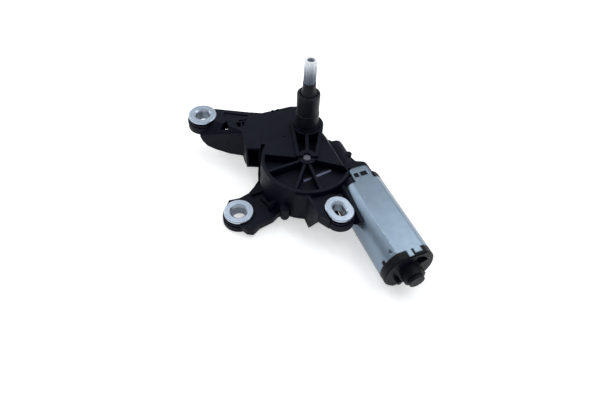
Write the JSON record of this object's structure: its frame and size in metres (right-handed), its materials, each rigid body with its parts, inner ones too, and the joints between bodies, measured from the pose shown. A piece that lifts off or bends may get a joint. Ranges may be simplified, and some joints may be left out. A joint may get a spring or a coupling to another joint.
{
  "type": "rear wiper motor",
  "caption": "Geared wiper motor: flatted steel can with end cap, moulded gear housing with ribbed recess and three bushed lugs, and a hollow serrated spindle in a rubber boot.",
  "frame": {"origin": "on the spindle's axis, in the plane of the housing's flat deck", "axes": "+Z along the spindle towards the wiper arm; +Y away from the ribbed drum; the connector's mouth faces -Y and the left lug lies towards -X"},
  "size_m": [0.1803, 0.1672, 0.094],
  "materials": {
    "housing_plastic": "moulded glass-filled plastic, fine grain",
    "cover_plastic": "moulded plastic",
    "cap_plastic": "moulded plastic",
    "carrier_plastic": "moulded plastic",
    "seal_rubber": "soft rubber",
    "boot_rubber": "soft rubber, slightly shiny",
    "grommet_rubber": "soft rubber",
    "screw_steel": "zinc-plated",
    "bush_steel": "zinc-plated, satin",
    "bearing_bronze": "sintered, oily",
    "pin_steel": "ground",
    "contact_brass": "stamped and tinned",
    "can_steel": "deep-drawn, zinc-plated, satin",
    "magnet_ferrite": "sintered",
    "brush_carbon": "sintered copper graphite",
    "spring_steel": "drawn",
    "gear_plastic": "moulded, greased",
    "shaft_steel": "rolled and ground",
    "core_steel": "stacked laminations",
    "winding_copper": "enamelled wire",
    "commutator_copper": "turned",
    "spindle_steel": "plated, satin",
    "gear_steel": "stamped, greased"
  },
  "bodies": {
    "housing": {"gear_housing": "housing_plastic", "back_cover": "cover_plastic", "cover_gasket": "seal_rubber", "cover_screws": "screw_steel", "inlet_seal": "seal_rubber", "lower_spindle_bush": "bearing_bronze", "upper_spindle_bush": "bearing_bronze", "shaft_boot": "boot_rubber", "left_lug_bush": "bush_steel", "front_lug_bush": "bush_steel", "right_lug_bush": "bush_steel", "left_grommet": "grommet_rubber", "front_grommet": "grommet_rubber", "right_grommet": "grommet_rubber", "wheel_axle": "pin_steel", "wheel_clip": "pin_steel", "contact_carrier": "carrier_plastic", "contact_fingers": "contact_brass", "terminal_pins": "contact_brass", "motor_can": "can_steel", "field_magnets": "magnet_ferrite", "brush_holder": "carrier_plastic", "carbon_brushes": "brush_carbon", "brush_springs": "spring_steel", "front_shaft_bearing": "bearing_bronze", "rear_shaft_bearing": "bearing_bronze", "tail_bush": "bearing_bronze", "thrust_button": "pin_steel", "brush_end_cap": "cap_plastic"},
    "wheel": {"worm_wheel": "gear_plastic", "contact_ring": "contact_brass", "crank_pin": "pin_steel"},
    "armature": {"armature_shaft": "shaft_steel", "armature_core": "core_steel", "armature_windings": "winding_copper", "commutator": "commutator_copper"},
    "spindle": {"wiper_spindle": "spindle_steel", "drive_pinion": "gear_steel", "spindle_clip": "pin_steel", "journal_clip": "pin_steel"},
    "link": {"link_plate": "gear_steel", "link_pin": "pin_steel"},
    "rod": {"toothed_rod": "gear_steel"}
  },
  "joints": [
    {"name": "wheel_spin", "type": "hinge", "parent": "housing", "child": "wheel", "pos_m": [0, -0.0354, -0.0135], "axis": [0, 0, 1], "continuous": true},
    {"name": "armature_spin", "type": "hinge", "parent": "housing", "child": "armature", "pos_m": [0.01563, 0.00654, -0.017], "axis": [0.3859, -0.9225, 0], "continuous": true},
    {"name": "spindle_sweep", "type": "hinge", "parent": "housing", "child": "spindle", "pos_m": [0, 0, 0], "axis": [0, 0, 1], "range_deg": [0, 115.7]},
    {"name": "link_swing", "type": "hinge", "parent": "housing", "child": "link", "pos_m": [0, 0, -0.02505], "axis": [0, 0, 1], "range_deg": [0, 60]},
    {"name": "rod_swing", "type": "hinge", "parent": "link", "child": "rod", "pos_m": [-0.01587, 0.00349, -0.0222], "axis": [0, 0, 1], "range_deg": [-57, 0]}
  ],
  "couplings": [
    {"joint": "armature_spin", "follows": "wheel_spin", "ratio": 54},
    {"joint": "link_swing", "follows": "spindle_sweep", "ratio": 0.51311},
    {"joint": "rod_swing", "follows": "spindle_sweep", "ratio": -0.48689}
  ]
}
